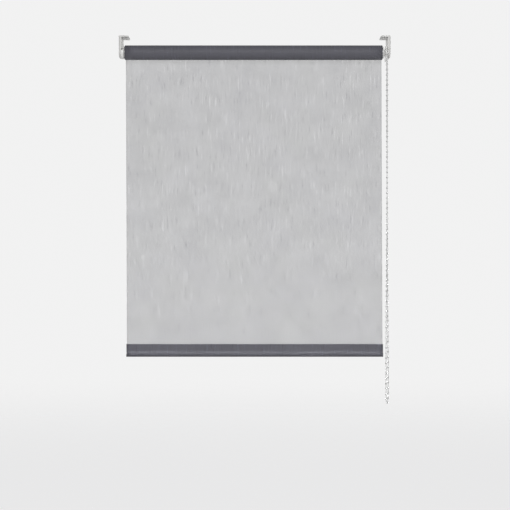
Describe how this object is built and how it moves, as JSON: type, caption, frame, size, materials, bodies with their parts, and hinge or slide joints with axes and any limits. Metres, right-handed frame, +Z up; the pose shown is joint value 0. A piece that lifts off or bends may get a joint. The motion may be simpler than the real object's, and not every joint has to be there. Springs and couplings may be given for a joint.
{
  "type": "roller blind",
  "caption": "Ceiling-mounted roller blind with a light-filtering cloth, weighted hem bar, spring-pin idle end and bead-chain clutch drive.",
  "frame": {"origin": "middle of the four slotted ceiling holes of the two brackets, on the ceiling plane that the flanges rest against", "axes": "+X along the roller towards the bead chain, +Y towards the window, +Z up"},
  "size_m": [0.632, 0.052, 0.8569],
  "materials": {
    "bracket_plastic": "satin",
    "idle_plastic": "satin",
    "drive_plastic": "satin",
    "pin_metal": "satin",
    "spring_steel": "satin",
    "screw_steel": "satin",
    "tube_metal": "satin",
    "tape": "matte",
    "cloth_rolled": "matte",
    "cloth_hanging": "matte",
    "hem_cloth": "matte",
    "rail_metal": "satin",
    "cap_plastic": "matte",
    "chain_bead": "gloss",
    "chain_cord": "matte"
  },
  "bodies": {
    "root": {"left_bracket": "bracket_plastic", "right_bracket": "bracket_plastic", "idle_cup": "idle_plastic", "drive_core": "drive_plastic", "core_screw": "screw_steel", "retaining_clip": "spring_steel", "chain_guard": "drive_plastic", "pull_chain_cord": "chain_cord", "pull_chain_beads": "chain_bead", "cloth_drop": "cloth_hanging"},
    "roller": {"roller_tube": "tube_metal", "cloth_tape": "tape", "cloth_roll": "cloth_rolled", "idle_plug": "idle_plastic", "idle_plug_cap": "idle_plastic", "idle_spring": "spring_steel", "drive_plug": "drive_plastic", "clutch_springs": "spring_steel"},
    "idle_pin_body": {"idle_pin": "pin_metal"},
    "sprocket_body": {"sprocket": "drive_plastic", "chain_on_sprocket": "chain_bead"},
    "bottom_bar": {"hem_pocket": "hem_cloth", "bottom_rail": "rail_metal", "left_end_cap": "cap_plastic", "right_end_cap": "cap_plastic"}
  },
  "joints": [
    {"name": "roller_turn", "type": "hinge", "parent": "root", "child": "roller", "pos_m": [0, -0.01, -0.038], "axis": [1, 0, 0], "range_deg": [-3600, 1440]},
    {"name": "sprocket_turn", "type": "hinge", "parent": "root", "child": "sprocket_body", "pos_m": [0, -0.01, -0.038], "axis": [1, 0, 0], "range_deg": [-3600, 1440], "deforming": ["pull_chain_cord", "pull_chain_beads"]},
    {"name": "bar_travel", "type": "slide", "parent": "root", "child": "bottom_bar", "axis": [0, 0, 1], "range_m": [-1.0681, 0.4273], "deforming": ["cloth_drop"]},
    {"name": "idle_pin_press", "type": "slide", "parent": "roller", "child": "idle_pin_body", "axis": [1, 0, 0], "range_m": [0, 0.0065], "stiffness_N_per_m": 300, "springref_m": -0.012, "deforming": ["idle_spring"]}
  ],
  "couplings": [
    {"joint": "sprocket_turn", "follows": "roller_turn", "ratio": 1},
    {"joint": "bar_travel", "follows": "roller_turn", "m_per_rad": 0.017}
  ]
}
